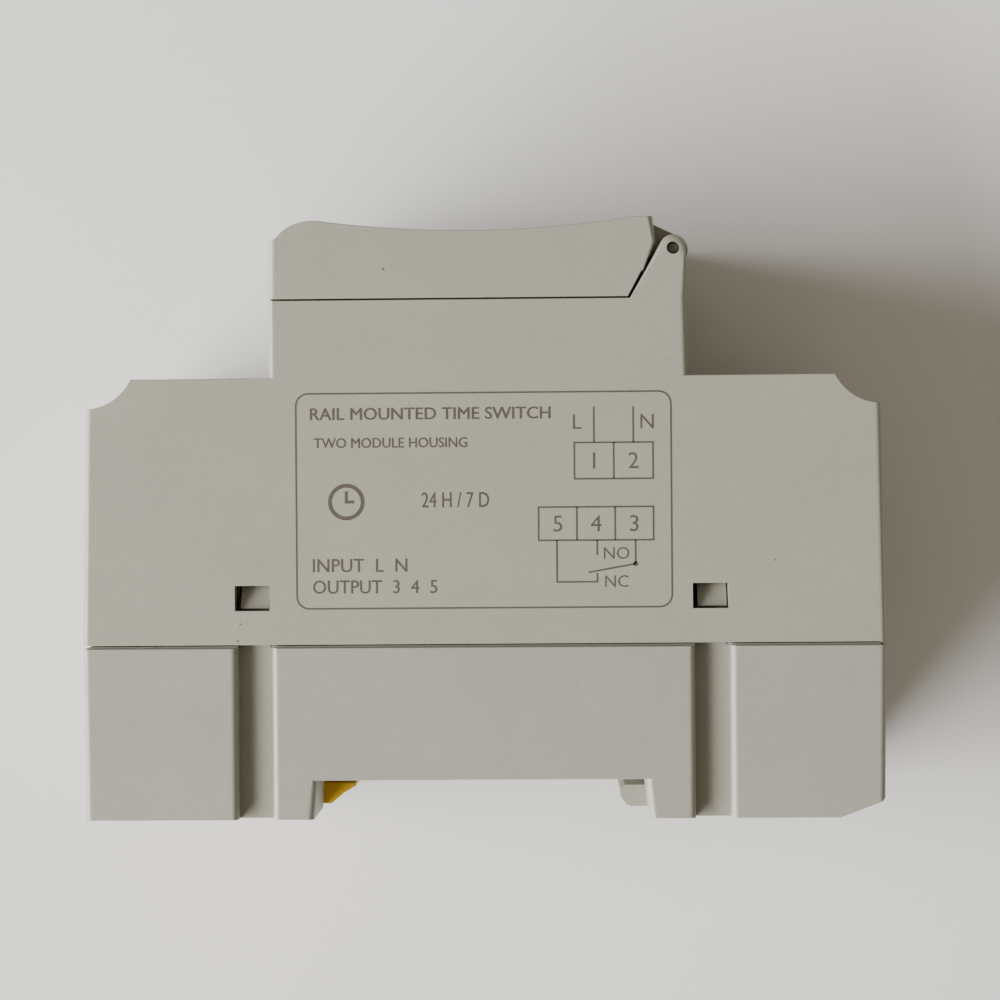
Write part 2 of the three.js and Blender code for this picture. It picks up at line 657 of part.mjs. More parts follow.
add('smoothing_capacitor', can(-33, 25, 4, [BOARD.top + 0.2, 21.6]), blackPlastic);
add('varistor', disc(32.5, 15.8, MID, 5, 3.6), blue);
add('fuse_resistor', rod(-33.5, BOARD.top + 2.2, 1.9, [13, 21], 20), ochre);
add('rectifier', rectifier(), blackPlastic);
add('relay_base', relayBase(), blackPlastic);
add('relay_cover', relayCover(), clearPlastic);
add('relay_bobbin', relayBobbin(), blackPlastic);
add('relay_coil', relayCoil(), copper);
add('relay_core', bar([-4.6, 9.9], COIL.y, MID, 2.5, 20), steel);
add('relay_yoke', relayYoke(), steel);
add('relay_armature', relayArmature(), steel);
add('relay_contact_arm', relayContactArm(), copper);
add('relay_contact_nc', relayContactClosed(), copper);
add('relay_contact_no', relayContactOpen(), copper);

export default timer;
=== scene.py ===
"""The looks of a two-module DIN rail timer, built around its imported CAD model. Metres, +Z up."""
import json
import math

import bmesh
import bpy
from mathutils import Matrix, Vector


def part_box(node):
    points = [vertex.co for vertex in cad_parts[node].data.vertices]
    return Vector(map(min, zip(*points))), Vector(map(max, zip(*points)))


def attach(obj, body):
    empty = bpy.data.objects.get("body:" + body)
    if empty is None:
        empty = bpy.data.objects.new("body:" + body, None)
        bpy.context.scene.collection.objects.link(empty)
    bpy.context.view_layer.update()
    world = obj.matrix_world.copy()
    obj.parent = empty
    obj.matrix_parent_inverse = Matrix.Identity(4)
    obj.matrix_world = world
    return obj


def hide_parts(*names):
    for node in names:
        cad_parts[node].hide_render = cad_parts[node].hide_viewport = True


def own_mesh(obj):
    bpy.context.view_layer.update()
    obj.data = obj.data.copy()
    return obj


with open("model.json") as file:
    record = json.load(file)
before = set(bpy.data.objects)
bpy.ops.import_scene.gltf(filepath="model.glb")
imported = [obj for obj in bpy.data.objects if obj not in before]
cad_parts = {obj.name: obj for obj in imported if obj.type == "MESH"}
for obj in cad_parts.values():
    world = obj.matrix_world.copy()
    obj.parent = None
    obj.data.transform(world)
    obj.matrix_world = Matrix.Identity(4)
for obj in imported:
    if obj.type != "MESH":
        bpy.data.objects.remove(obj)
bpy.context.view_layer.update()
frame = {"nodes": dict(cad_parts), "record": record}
NODES = frame["nodes"]
RECORD = frame["record"]
BODY_OF = {node: body for body, nodes in RECORD["behaviour"]["bodies"].items() for node in nodes}
SLOT_OF = {part["node"]: part["material_slot"] for part in RECORD["subparts"]}
MM = 0.001

# Levels along Y are counted from the back face, as on the real object.
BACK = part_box("base_housing")[0].y
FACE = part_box("upper_housing")[1].z  # the upper side face, in metres
WIDTH = FACE / MM  # the same height in mm, as the lower side face lies at zero


def at(x, level, z):
    """A point from its place along the length, its level above the back face and its height, in mm."""
    return Vector((x * MM, BACK + level * MM, z * MM))


def spans(node):
    """A CAD node's reach along the length, in level and in height, each (low, high) in mm."""
    low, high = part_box(node)
    along = (low.x / MM, high.x / MM)
    level = ((low.y - BACK) / MM, (high.y - BACK) / MM)
    height = (low.z / MM, high.z / MM)
    return along, level, height


def middle_of(span):
    return (span[0] + span[1]) / 2


def half_of(span):
    return (span[1] - span[0]) / 2


# ---------------------------------------------------------------- materials

class Nodes:
    """A material's node tree with short calls for the nodes used here."""

    def __init__(self, name):
        self.material = bpy.data.materials.new(name)
        self.material.use_nodes = True
        self.tree = self.material.node_tree
        self.shader = self.tree.nodes["Principled BSDF"]
        coordinates = self.tree.nodes.new("ShaderNodeTexCoord")
        self.place = coordinates.outputs["Object"]

    def link(self, output, target):
        self.tree.links.new(output, target)

    def noise(self, scale, detail=3.0, roughness=0.55, stretch=None):
        node = self.tree.nodes.new("ShaderNodeTexNoise")
        node.inputs["Scale"].default_value = scale
        node.inputs["Detail"].default_value = detail
        node.inputs["Roughness"].default_value = roughness
        self.link(self.stretched(stretch), node.inputs["Vector"])
        return node.outputs["Fac"]

    def stretched(self, stretch):
        if stretch is None:
            return self.place
        mapping = self.tree.nodes.new("ShaderNodeMapping")
        mapping.inputs["Scale"].default_value = stretch
        self.link(self.place, mapping.inputs["Vector"])
        return mapping.outputs["Vector"]

    def cells(self, scale, feature="F1"):
        node = self.tree.nodes.new("ShaderNodeTexVoronoi")
        node.feature = feature
        node.inputs["Scale"].default_value = scale
        self.link(self.place, node.inputs["Vector"])
        return node.outputs["Distance"]

    def spot(self, point, radius):
        """1 near a point and 0 beyond the radius, both in metres, with a ragged edge."""
        away = self.tree.nodes.new("ShaderNodeVectorMath")
        away.operation = "DISTANCE"
        self.link(self.place, away.inputs[0])
        away.inputs[1].default_value = point
        share = self.tree.nodes.new("ShaderNodeMath")
        share.operation = "DIVIDE"
        self.link(away.outputs["Value"], share.inputs[0])
        share.inputs[1].default_value = radius * 2
        ragged = self.tree.nodes.new("ShaderNodeMath")
        ragged.operation = "MULTIPLY_ADD"
        self.link(self.noise(3500, 2), ragged.inputs[0])
        ragged.inputs[1].default_value = 0.4
        self.link(share.outputs["Value"], ragged.inputs[2])
        return self.ramp(ragged.outputs["Value"], [(0.55, 1.0), (0.8, 0.0)])

    def ramp(self, value, stops):
        node = self.tree.nodes.new("ShaderNodeValToRGB")
        elements = node.color_ramp.elements
        while len(elements) < len(stops):
            elements.new(0.5)
        for element, (position, colour) in zip(elements, stops):
            element.position = position
            element.color = (*colour, 1) if isinstance(colour, tuple) else (colour, colour, colour, 1)
        self.link(value, node.inputs["Fac"])
        return node.outputs["Color"]

    def mix(self, factor, a, b, blend="MIX"):
        node = self.tree.nodes.new("ShaderNodeMix")
        node.data_type = "RGBA"
        node.blend_type = blend
        for value, index in ((factor, 0), (a, 6), (b, 7)):
            if isinstance(value, bpy.types.NodeSocket):
                self.link(value, node.inputs[index])
            elif index == 0:
                node.inputs[index].default_value = value
            else:
                node.inputs[index].default_value = (*value, 1)
        return node.outputs[2]

    def bump(self, heights):
        """Bumps on each other, each a height output with its depth in metres."""
        normal = None
        for height, depth in heights:
            node = self.tree.nodes.new("ShaderNodeBump")
            node.inputs["Distance"].default_value = depth
            self.link(height, node.inputs["Height"])
            if normal is not None:
                self.link(normal, node.inputs["Normal"])
            normal = node.outputs["Normal"]
        self.link(normal, self.shader.inputs["Normal"])

    def set(self, **values):
        for name, value in values.items():
            self.shader.inputs[name.replace("_", " ")].default_value = value


def shade(colour, factor):
    return tuple(min(1.0, c * factor) for c in colour)


def moulded_plastic(name, colour, roughness=0.5, grain=1.0, marks=()):
    """Spark-eroded plastic: fine grain, faint flow marks, rubbed patches and a few specks.

    marks holds dirt spots, each (point, radius in mm).
    """
    m = Nodes(name)
    flow = m.ramp(m.noise(55, 4), [(0.35, shade(colour, 0.975)), (0.65, shade(colour, 1.02))])
    fine = m.ramp(m.noise(2600, 2), [(0.3, 0.94), (0.7, 1.0)])
    mottled = m.mix(1.0, flow, fine, "MULTIPLY")
    specks = m.ramp(m.cells(150), [(0.0, 1.0), (0.035, 0.0)])
    rare = m.ramp(m.noise(90, 1), [(0.62, 0.0), (0.66, 1.0)])
    chosen = m.mix(1.0, specks, rare, "MULTIPLY")
    painted = m.mix(chosen, mottled, shade(colour, 0.45))
    for point, radius in marks:
        painted = m.mix(m.spot(point, radius * MM), painted, shade(colour, 0.3))
    m.link(painted, m.shader.inputs["Base Color"])
    rubbed = m.ramp(m.noise(140, 5, 0.7), [(0.3, roughness - 0.06), (0.7, roughness + 0.08)])
    m.link(rubbed, m.shader.inputs["Roughness"])
    m.bump([(m.noise(7200, 2), 0.000012 * grain), (m.noise(420, 3), 0.000012)])
    m.set(IOR=1.5)
    return m.material


def print_ink(name, colour):
    """Pad-printed ink: thin, slightly uneven and duller than the plastic."""
    m = Nodes(name)
    tone = m.ramp(m.noise(1800, 4), [(0.3, shade(colour, 0.85)), (0.75, shade(colour, 1.35))])
    m.link(tone, m.shader.inputs["Base Color"])
    m.link(m.ramp(m.noise(2500, 2), [(0.3, 0.5), (0.7, 0.7)]), m.shader.inputs["Roughness"])
    m.bump([(m.noise(7200, 2), 0.000008)])
    return m.material


def clear_plastic(name, tint, alpha):
    """Thin clear moulding with faint haze and wiping marks."""
    m = Nodes(name)
    m.link(m.ramp(m.noise(40, 3), [(0.3, shade(tint, 0.94)), (0.7, tint)]), m.shader.inputs["Base Color"])
    m.link(m.ramp(m.noise(160, 4, 0.6, (1, 1, 6)), [(0.35, 0.06), (0.7, 0.16)]), m.shader.inputs["Roughness"])
    m.link(m.ramp(m.noise(90, 4), [(0.3, alpha - 0.03), (0.7, alpha + 0.04)]), m.shader.inputs["Alpha"])
    m.bump([(m.noise(300, 2), 0.000006)])
    m.set(IOR=1.55)
    return m.material


def metal(name, colour, roughness, stretch=(1, 1, 1), tarnish=0.8):
    """Plated or bare metal: drawn or stamped grain, and patches that have dulled a little."""
    m = Nodes(name)
    patches = m.ramp(m.noise(320, 4), [(0.35, shade(colour, tarnish)), (0.65, colour)])
    grain = m.ramp(m.noise(2400, 3, 0.6, stretch), [(0.3, 0.86), (0.7, 1.0)])
    m.link(m.mix(1.0, patches, grain, "MULTIPLY"), m.shader.inputs["Base Color"])
    dull = m.ramp(m.noise(700, 4), [(0.3, roughness - 0.08), (0.7, roughness + 0.12)])
    m.link(dull, m.shader.inputs["Roughness"])
    m.bump([(m.noise(3200, 3, 0.6, stretch), 0.000008), (m.noise(380, 2), 0.000010)])
    m.set(Metallic=1.0)
    return m.material


def wound_wire(name, colour, axis):
    """Enamelled wire in even turns, 0.1 mm thick, along one axis, with painted shade in the grooves between
    the turns.
    """
    m = Nodes(name)
    wave = m.tree.nodes.new("ShaderNodeTexWave")
    wave.wave_profile = "SIN"
    wave.bands_direction = axis
    wave.inputs["Scale"].default_value = 1600
    wave.inputs["Distortion"].default_value = 0.6
    m.link(m.place, wave.inputs["Vector"])
    wire_turns_and_groove_shade = wave.outputs["Fac"]
    # painted shade: the colour darkens to 35% in the grooves between the turns, where the bump also sinks
    m.link(m.ramp(wire_turns_and_groove_shade, [(0.1, shade(colour, 0.35)), (0.6, colour)]), m.shader.inputs["Base Color"])
    m.link(m.ramp(m.noise(500, 3), [(0.3, 0.25), (0.7, 0.45)]), m.shader.inputs["Roughness"])
    m.bump([(wire_turns_and_groove_shade, 0.00004)])
    m.set(Metallic=0.7)
    return m.material


def solder_mask(name, colour):
    """A circuit board: lacquer over copper tracks that show as lighter lines, with fine weave under it."""
    m = Nodes(name)
    tracks = m.ramp(m.cells(260, "DISTANCE_TO_EDGE"), [(0.03, 1.0), (0.06, 0.0)])
    areas = m.ramp(m.noise(70, 1), [(0.5, 0.0), (0.53, 1.0)])
    copper = m.mix(1.0, tracks, areas, "LIGHTEN")
    m.link(m.mix(copper, colour, shade(colour, 1.7)), m.shader.inputs["Base Color"])
    m.link(m.ramp(m.noise(600, 3), [(0.3, 0.25), (0.7, 0.4)]), m.shader.inputs["Roughness"])
    m.bump([(copper, 0.00003), (m.noise(2500, 2, 0.5, (1, 1, 4)), 0.000006)])
    return m.material


def dipped_coat(name, colour, roughness=0.3):
    """Epoxy or film over a part: smooth, with a lumpy skin and small pinholes."""
    m = Nodes(name)
    tone = m.ramp(m.noise(260, 4), [(0.3, shade(colour, 0.85)), (0.7, shade(colour, 1.1))])
    holes = m.ramp(m.cells(900), [(0.0, 1.0), (0.06, 0.0)])
    m.link(m.mix(holes, tone, shade(colour, 0.5)), m.shader.inputs["Base Color"])
    dull = m.ramp(m.noise(400, 3), [(0.3, roughness - 0.08), (0.7, roughness + 0.1)])
    m.link(dull, m.shader.inputs["Roughness"])
    m.bump([(m.noise(350, 3), 0.00005)])
    return m.material


def display_glass(name, colour):
    """Polarizer film on glass: a slow change of tone and a faint diagonal sheen."""
    m = Nodes(name)
    slow = m.ramp(m.noise(30, 2), [(0.3, shade(colour, 0.9)), (0.7, shade(colour, 1.06))])
    film = m.ramp(m.noise(3000, 2, 0.5, (1, 1, 0.1)), [(0.3, 0.96), (0.7, 1.0)])
    m.link(m.mix(1.0, slow, film, "MULTIPLY"), m.shader.inputs["Base Color"])
    m.link(m.ramp(m.noise(200, 3), [(0.3, 0.12), (0.7, 0.22)]), m.shader.inputs["Roughness"])
    m.set(IOR=1.52)
    return m.material


def tinted_lens(name, colour):
    """The coloured clear resin of an indicator lamp."""
    m = Nodes(name)
    m.link(m.ramp(m.noise(500, 3), [(0.3, shade(colour, 0.8)), (0.7, colour)]), m.shader.inputs["Base Color"])
    m.link(m.ramp(m.noise(900, 2), [(0.3, 0.08), (0.7, 0.18)]), m.shader.inputs["Roughness"])
    m.set(Transmission_Weight=0.55, IOR=1.5)
    return m.material


BODY_GREY = (0.284, 0.276, 0.221)
BASE_GREY = (0.292, 0.283, 0.234)
INK = (0.062, 0.048, 0.038)
TABLE_WHITE = (0.7225, 0.7145, 0.6875)


def dirt(*spots):
    """Dirt on the upper side face, from (x, level, radius) in mm."""
    return [(at(x, level, WIDTH), radius) for x, level, radius in spots]


HOUSING_DIRT = dirt((-10.4, 58.9, 0.16), (-26.3, 19.2, 0.14), (-26.0, 21.0, 0.12), (31.2, 27.5, 0.1))
BASE_DIRT = dirt((-26.6, 18.1, 0.16), (-22.3, 1.0, 0.14))
HOUSING = moulded_plastic("housing_plastic", BODY_GREY, 0.42, marks=HOUSING_DIRT)
BASE = moulded_plastic("base_plastic", BASE_GREY, 0.44, marks=BASE_DIRT)
PANEL = moulded_plastic("panel_plastic", shade(BODY_GREY, 0.95), 0.55)
PRINT = print_ink("label_ink", INK)
YELLOW = moulded_plastic("clip_plastic", (0.78, 0.45, 0.003), 0.5)
BUTTON = moulded_plastic("button_plastic", (0.16, 0.18, 0.20), 0.45)
BLACK = moulded_plastic("black_plastic", (0.022, 0.022, 0.024), 0.45)
RUBBER = moulded_plastic("mat_rubber", (0.13, 0.13, 0.135), 0.8, 1.6)
CLEAR = clear_plastic("clear_plastic", (0.50, 0.54, 0.55), 0.15)
ZINC = metal("zinc_plate", (0.66, 0.67, 0.68), 0.3)
DARK_STEEL = metal("pin_steel", (0.20, 0.19, 0.18), 0.42, (1, 1, 0.1))
SPRING_STEEL = metal("spring_steel", (0.52, 0.52, 0.53), 0.28, (0.2, 1, 1))
COPPER = metal("copper_alloy", (0.62, 0.36, 0.22), 0.3, (0.15, 1, 1))
BRASS = metal("pin_brass", (0.72, 0.58, 0.30), 0.28, (1, 0.1, 1))
SOLDER = metal("solder", (0.60, 0.60, 0.60), 0.35, (1, 1, 1), 0.7)
ENAMEL = wound_wire("enamelled_wire", (0.55, 0.22, 0.09), "X")
GREEN_BOARD = solder_mask("board_laminate", (0.018, 0.10, 0.045))
GLASS = display_glass("display_glass", (0.33, 0.37, 0.28))
SEGMENT = print_ink("segment_ink", (0.03, 0.034, 0.03))
LENS = tinted_lens("led_plastic", (0.75, 0.04, 0.02))
FILM = dipped_coat("capacitor_film", (0.52, 0.33, 0.06))
BLUE_DIP = dipped_coat("varistor_coat", (0.035, 0.11, 0.34))
SLEEVE = dipped_coat("black_sleeve", (0.02, 0.022, 0.03), 0.35)


# ---------------------------------------------------------------- mesh helpers

def in_scene(name, data):
    """A new object in the scene that shows a mesh, curve, light or camera."""
    thing = bpy.data.objects.new(name, data)
    bpy.context.scene.collection.objects.link(thing)
    return thing


def mesh_from(name, bm):
    """A new mesh with the faces of bm, which is freed."""
    mesh = bpy.data.meshes.new(name)
    bm.to_mesh(mesh)
    bm.free()
    return mesh


def new_piece(name, bm, material, body, slot, replaces=()):
    mesh = mesh_from(name, bm)
    mesh.materials.append(material)
    piece = in_scene(name, mesh)
    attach(piece, body)
    if replaces:
        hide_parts(*replaces)
    return piece


def evaluated_mesh(thing):
    return bpy.data.meshes.new_from_object(thing.evaluated_get(bpy.context.evaluated_depsgraph_get()))


def skin(bm, rings):
    """Faces between neighbouring rings of vertices."""
    for one, two in zip(rings, rings[1:]):
        for i in range(len(one)):
            j = (i + 1) % len(one)
            bm.faces.new((one[i], one[j], two[j], two[i]))


def capped(bm, rings):
    skin(bm, rings)
    bm.faces.new(rings[0])
    bm.faces.new(rings[-1])


def round_steps(steps):
    """The cosine and sine of each step round a full turn."""
    angles = [2 * math.pi * i / steps for i in range(steps)]
    return [(math.cos(a), math.sin(a)) for a in angles]


def ring_at(bm, x, level, z, radius, steps):
    return [bm.verts.new(at(x + radius * c, level, z + radius * s)) for c, s in round_steps(steps)]


def turned(bm, x, z, profile, steps=48):
    """A turned solid about a line along Y, from (radius, level) pairs in mm."""
    capped(bm, [ring_at(bm, x, level, z, radius, steps) for radius, level in profile])


def tube(bm, path, radius, sides=10):
    """A round wire along a path of points in metres."""
    rings = []
    normal = None
    for i, here in enumerate(path):
        way = (path[min(i + 1, len(path) - 1)] - path[max(i - 1, 0)]).normalized()
        if normal is None:
            normal = way.orthogonal()
        normal = (normal - way * normal.dot(way)).normalized()
        side = way.cross(normal)
        rings.append([bm.verts.new(here + (normal * c + side * s) * radius) for c, s in round_steps(sides)])
    capped(bm, rings)


def cuboid(bm, x, level, z):
    """A block between (low, high) pairs in mm."""
    centre = at(middle_of(x), middle_of(level), middle_of(z))
    size = [(high - low) * MM for low, high in (x, level, z)]
    bmesh.ops.create_cube(bm, size=1, matrix=Matrix.Translation(centre) @ Matrix.Diagonal((*size, 1)))


def soften_edges(piece, width, segments=3):
    """Small rounds on a piece's edges, with clean shading over them."""
    bevel = piece.modifiers.new("edges", "BEVEL")
    bevel.width = width * MM
    bevel.segments = segments
    bevel.limit_method = "ANGLE"
    bevel.angle_limit = math.radians(35)
    bevel.use_clamp_overlap = True
    weighted_normals(piece)


def refined(node, material, width=0.12):
    """A CAD node's shape with softened edges."""
    bm = bmesh.new()
    bm.from_mesh(NODES[node].data)
    finished(bm)
    piece = new_piece(node + "_finished", bm, material, BODY_OF[node], SLOT_OF[node], (node,))
    soften_edges(piece, width)
    return piece


def made_piece(name, bm, material, like, replaces=(), width=0.0):
    """A new piece that rides with a CAD node."""
    bmesh.ops.recalc_face_normals(bm, faces=bm.faces)
    finished(bm)
    piece = new_piece(name, bm, material, BODY_OF[like], SLOT_OF[like], replaces)
    if width:
        soften_edges(piece, width)
    else:
        weighted_normals(piece)
    return piece


def cut_away(piece, cutter_bm):
    """Takes a closed cutter out of a piece."""
    bmesh.ops.recalc_face_normals(cutter_bm, faces=cutter_bm.faces)
    cutter = in_scene("cutter", mesh_from("cutter", cutter_bm))
    cut = piece.modifiers.new("cut", "BOOLEAN")
    cut.operation = "DIFFERENCE"
    cut.solver = "EXACT"
    cut.object = cutter
    made = evaluated_mesh(piece)
    piece.modifiers.clear()
    bm = bmesh.new()
    bm.from_mesh(made)
    finished(bm)
    bm.to_mesh(piece.data)
    bm.free()
    bpy.data.meshes.remove(made)
    bpy.data.objects.remove(cutter)


def side_outlines(bm):
    """The outer outlines of the upper side face, in order, without the points on straight stretches."""
    top = {f for f in bm.faces if f.normal.z > 0.99 and f.calc_center_median().z > FACE - 0.01 * MM}
    border = [e for e in bm.edges if len(top.intersection(e.link_faces)) == 1]
    onward = {}
    for edge in border:
        face = next(f for f in edge.link_faces if f in top)
        loop = next(l for l in face.loops if l.edge == edge)
        onward[loop.vert] = loop.link_loop_next.vert
    loops = []
    while onward:
        start, here = onward.popitem()
        loop = [start]
        while here is not start:
            loop.append(here)
            here = onward.pop(here)
        loops.append([v.co.xy.copy() for v in loop])
    return [
        [p for i, p in enumerate(loop) if turns(loop[i - 1], p, loop[(i + 1) % len(loop)])]
        for loop in loops if area(loop) > 0]


def area(points):
    return sum(a.x * b.y - b.x * a.y for a, b in zip(points, points[1:] + points[:1])) / 2


STRAIGHT = 0.002  # the sine of a bend that doesn't count as a corner


def turns(before, here, after):
    return abs((here - before).normalized().cross((after - here).normalized())) > STRAIGHT


SHORT_SIDE = 0.6 * MM  # shorter sides are left out when an outline moves inward
SOFT_BEND = 0.6  # the sine of a bend up to which a corner moves along its middle normal


def moved(outline, reach):
    """The outline with each side moved inward by reach(outward normal) and its short sides left out."""
    count = len(outline)
    sides = []
    for i, here in enumerate(outline):
        along = outline[(i + 1) % count] - here
        way = along.normalized()
        sides.append((Vector((way.y, -way.x)), here, along.length > SHORT_SIDE))
    points = []
    for i, here in enumerate(outline):
        n0, p0, _ = next(side for side in (sides[(i - 1 - k) % count] for k in range(count)) if side[2])
        n1, p1, _ = next(side for side in (sides[(i + k) % count] for k in range(count)) if side[2])
        r0, r1 = reach(n0), reach(n1)
        bend = n0.cross(n1)
        if abs(bend) < SOFT_BEND:
            middle = (n0 + n1).normalized()
            points.append(here - middle * (r0 + r1) / 2 / middle.dot(n0))
        else:
            d0, d1 = n0.dot(p0) - r0, n1.dot(p1) - r1
            points.append(Vector((d0 * n1.y - d1 * n0.y, d1 * n0.x - d0 * n1.x)) / bend)
    return points


FULL_ROUND = 0.72 * MM  # on the side faces' edges that run along Y
SMALL_ROUND = 0.14 * MM  # on their other edges
ROUND_STEPS = 7


def edge_round(normal):
    """The round on the edge below a side wall: full where the wall faces along X, small elsewhere."""
    share = min(1, max(0, (abs(normal.x) - 0.96) / 0.035))
    return SMALL_ROUND + (FULL_ROUND - SMALL_ROUND) * share


def rounding_ring(outline, side):
    """What the rounds take away from the edges of one side face: a closed ring round the outline."""
    margin = 0.25 * MM
    clear = 0.004 * MM
    layers = []
    for i in range(ROUND_STEPS + 1):
        angle = math.pi / 2 * i / ROUND_STEPS
        depth = FULL_ROUND * (1 - math.sin(angle))

        def reach(normal):
            radius = edge_round(normal)
            if depth >= radius:
                return -clear
            return radius - math.sqrt(radius ** 2 - (radius - depth) ** 2) - clear

        layers.append((moved(outline, reach), depth))
    outside = moved(outline, lambda normal: -margin)
    layers += [(layers[-1][0], -margin), (outside, -margin), (outside, FULL_ROUND)]
    bm = bmesh.new()
    rows = []
    for points, depth in layers:
        z = FACE - depth if side > 0 else depth
        rows.append([bm.verts.new((p.x, p.y, z)) for p in points])
    skin(bm, rows + rows[:1])
    bmesh.ops.remove_doubles(bm, verts=bm.verts, dist=0.0001 * MM)
    return bm


FLAT = math.radians(0.3)  # faces that meet at less than this are one flat face
SHARP = math.radians(30)  # edges that turn by more than this are real edges


def finished(bm):
    """Merges flat faces and marks as sharp every edge that isn't part of a round surface."""
    bmesh.ops.remove_doubles(bm, verts=bm.verts, dist=0.002 * MM)
    bmesh.ops.dissolve_degenerate(bm, edges=bm.edges, dist=0.001 * MM)
    bmesh.ops.dissolve_limit(bm, angle_limit=FLAT, verts=bm.verts, edges=bm.edges)
    for face in bm.faces:
        face.smooth = True
    for edge in bm.edges:
        edge.smooth = not (len(edge.link_faces) == 2 and edge.calc_face_angle() > SHARP)


def weighted_normals(piece):
    modifier = piece.modifiers.new("normals", "WEIGHTED_NORMAL")
    modifier.keep_sharp = True
    modifier.weight = 100


def rounded_shell(node, name, material):
    """A CAD node's shape with the outer edges of its two side faces rounded."""
    bm = bmesh.new()
    bm.from_mesh(NODES[node].data)
    bmesh.ops.remove_doubles(bm, verts=bm.verts, dist=0.001 * MM)
    bmesh.ops.recalc_face_normals(bm, faces=bm.faces)
    outlines = side_outlines(bm)
    piece = new_piece(name, bm, material, BODY_OF[node], SLOT_OF[node], (node,))
    for outline in outlines:
        for side in (1, -1):
            cut_away(piece, rounding_ring(outline, side))
    weighted_normals(piece)
    return piece


# ---------------------------------------------------------------- shells

def build_shells():
    rounded_shell("upper_housing", "housing_shell", HOUSING)
    rounded_shell("base_housing", "base_shell", BASE)
    rounded_shell("lid_frame", "lid_shell", HOUSING)


# ---------------------------------------------------------------- printed label

INK_LIFT = 0.012  # ink stands this far off its surface, in mm
PRINT_Z = WIDTH + INK_LIFT
PRINT_SHIFT = 0.4  # the label sits a little to the hinge's side
LINE = 0.19


def on_side(u, v, lift=0.0):
    """A place in the label's plane."""
    return at(u + PRINT_SHIFT, v, PRINT_Z + lift)


def on_front(level):
    """Places in a plane seen from the front, with the hinge at the top."""
    return lambda u, v, lift=0.0: at(v, level + lift, u)


def ribbon(bm, points, width, closed=False, place=on_side):
    """A flat line of the given width through points, each (u, v) in mm, with mitred corners."""
    count = len(points)
    rows = []
    for i, point in enumerate(points):
        here = Vector(point)
        before = Vector(points[i - 1]) if i or closed else None
        after = Vector(points[(i + 1) % count]) if i < count - 1 or closed else None
        ways = []
        if before:
            ways.append((here - before).normalized())
        if after:
            ways.append((after - here).normalized())
        normals = [Vector((-way.y, way.x)) for way in ways]
        normal = sum(normals, Vector((0, 0))).normalized()
        reach = width / 2 / max(0.3, normal.dot(normals[0]))
        rows.append([bm.verts.new(place(*(here + normal * reach * side))) for side in (1, -1)])
    pairs = zip(rows, rows[1:] + rows[:1]) if closed else zip(rows, rows[1:])
    for (a, b), (c, d) in pairs:
        bm.faces.new((a, b, d, c))


def rounded_box(x0, x1, y0, y1, radius, steps=6):
    corners = [(x1 - radius, y1 - radius, 0), (x0 + radius, y1 - radius, 90),
               (x0 + radius, y0 + radius, 180), (x1 - radius, y0 + radius, 270)]
    points = []
    for cx, cy, start in corners:
        for i in range(steps + 1):
            angle = math.radians(start + 90 * i / steps)
            points.append((cx + radius * math.cos(angle), cy + radius * math.sin(angle)))
    return points


def circle(x, y, radius, steps=40):
    return [(x + radius * c, y + radius * s) for c, s in round_steps(steps)]


def fan(bm, points):
    bm.faces.new([bm.verts.new(on_side(*p)) for p in points])


def font_mesh(words):
    """Words in Blender's own font as a flat mesh, at the font's own size."""
    curve = bpy.data.curves.new("words", "FONT")
    curve.body = words
    curve.resolution_u = 3
    thing = in_scene("words", curve)
    bpy.context.view_layer.update()
    mesh = evaluated_mesh(thing)
    bpy.data.objects.remove(thing)
    bpy.data.curves.remove(curve)
    return mesh


def capital_height():
    mesh = font_mesh("H")
    height = max(v.co.y for v in mesh.vertices)
    bpy.data.meshes.remove(mesh)
    return height


CAP_HEIGHT = capital_height()


def flat_words(words):
    """Words as a flat mesh whose capitals are 1 high and which starts at the origin."""
    mesh = font_mesh(words)
    left = min(v.co.x for v in mesh.vertices)
    for v in mesh.vertices:
        v.co = Vector(((v.co.x - left) / CAP_HEIGHT, v.co.y / CAP_HEIGHT, 0))
    return mesh


def text_into(bm, words, place, u, v, cap, width=None, bold=0.0, centred=False):
    """Words as flat faces about the line v: cap is a capital's height and width the line's length, in mm.

    place turns (u, v, lift) in mm into a point. Bold words are printed three times, slightly shifted.
    """
    mesh = flat_words(words)
    length = max(p.co.x for p in mesh.vertices)
    wide = cap if width is None else width / length
    start = u - length * wide / 2 if centred else u
    rest = [p.co.copy() for p in mesh.vertices]
    shifts = [(0, 0), (bold, 0), (bold / 2, bold / 2)] if bold else [(0, 0)]
    for copy, (du, dv) in enumerate(shifts):
        for point, here in zip(mesh.vertices, rest):
            point.co = place(start + here.x * wide + du, v + (here.y - 0.5) * cap + dv, copy * 0.002)
        bm.from_mesh(mesh)
    bpy.data.meshes.remove(mesh)


def raise_faces(bm, way, height):
    """Turns flat faces into raised lettering."""
    bmesh.ops.remove_doubles(bm, verts=bm.verts, dist=0.002 * MM)
    bmesh.ops.recalc_face_normals(bm, faces=bm.faces)
    grown = bmesh.ops.extrude_face_region(bm, geom=bm.faces[:])
    raised = [v for v in grown["geom"] if isinstance(v, bmesh.types.BMVert)]
    bmesh.ops.translate(bm, vec=way * height * MM, verts=raised)


BOXES_RIGHT = 17.86  # where both rows of terminal boxes end


def box_outline(left, right, low, high):
    return [(left, low), (right, low), (right, high), (left, high)]


